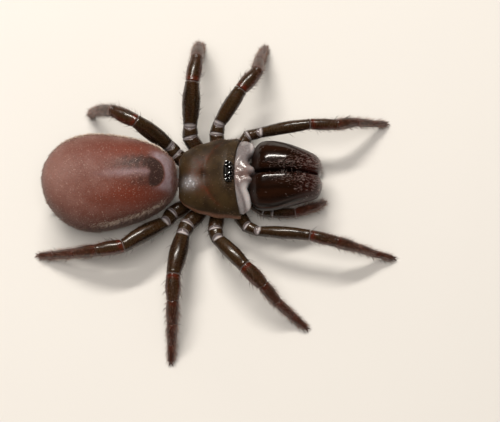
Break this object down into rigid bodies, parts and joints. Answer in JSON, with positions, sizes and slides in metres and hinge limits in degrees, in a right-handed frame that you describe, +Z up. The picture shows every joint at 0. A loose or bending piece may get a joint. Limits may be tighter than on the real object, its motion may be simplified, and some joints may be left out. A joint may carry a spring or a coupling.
{
  "type": "purseweb spider model",
  "caption": "Life-size purseweb spider at rest on spread legs, with an egg-shaped abdomen, a domed back plate and long, forward-pointing chelicerae.",
  "frame": {"origin": "middle of the bounding box, on the floor that the feet and the belly rest on", "axes": "+X from the abdomen to the head, +Y to the spider's left, +Z up"},
  "size_m": [0.037, 0.0348, 0.0084],
  "materials": {
    "abdomen": "soft, velvety with very short fine hairs",
    "carapace": "glossy, slightly translucent horn",
    "limb": "glossy, slightly translucent horn with sparse hairs",
    "foot": "satin, hairy",
    "eye": "wet, black gloss",
    "fold": "pale, folded, moist skin",
    "chelicera": "high gloss",
    "fang": "high gloss",
    "spinneret": "soft, finely haired"
  },
  "bodies": {
    "root": {"abdomen": "abdomen", "carapace": "carapace", "chelicera_left": "chelicera", "chelicera_right": "chelicera", "eyes": "eye", "fang_left": "fang", "fang_right": "fang", "front_fold": "fold", "leg_1_left_coxa": "limb", "leg_1_left_femur": "limb", "leg_1_left_foot": "foot", "leg_1_left_shank": "limb", "leg_1_right_coxa": "limb", "leg_1_right_femur": "limb", "leg_1_right_foot": "foot", "leg_1_right_shank": "limb", "leg_2_left_coxa": "limb", "leg_2_left_femur": "limb", "leg_2_left_foot": "foot", "leg_2_left_shank": "limb", "leg_2_right_coxa": "limb", "leg_2_right_femur": "limb", "leg_2_right_foot": "foot", "leg_2_right_shank": "limb", "leg_3_left_coxa": "limb", "leg_3_left_femur": "limb", "leg_3_left_foot": "foot", "leg_3_left_shank": "limb", "leg_3_right_coxa": "limb", "leg_3_right_femur": "limb", "leg_3_right_foot": "foot", "leg_3_right_shank": "limb", "leg_4_left_coxa": "limb", "leg_4_left_femur": "limb", "leg_4_left_foot": "foot", "leg_4_left_shank": "limb", "leg_4_right_coxa": "limb", "leg_4_right_femur": "limb", "leg_4_right_foot": "foot", "leg_4_right_shank": "limb", "palp_left_base": "limb", "palp_left_end": "foot", "palp_left_femur": "limb", "palp_right_base": "limb", "palp_right_end": "foot", "palp_right_femur": "limb", "spinnerets_left": "spinneret", "spinnerets_right": "spinneret", "sternum": "limb", "waist": "fold"}
  },
  "joints": []
}
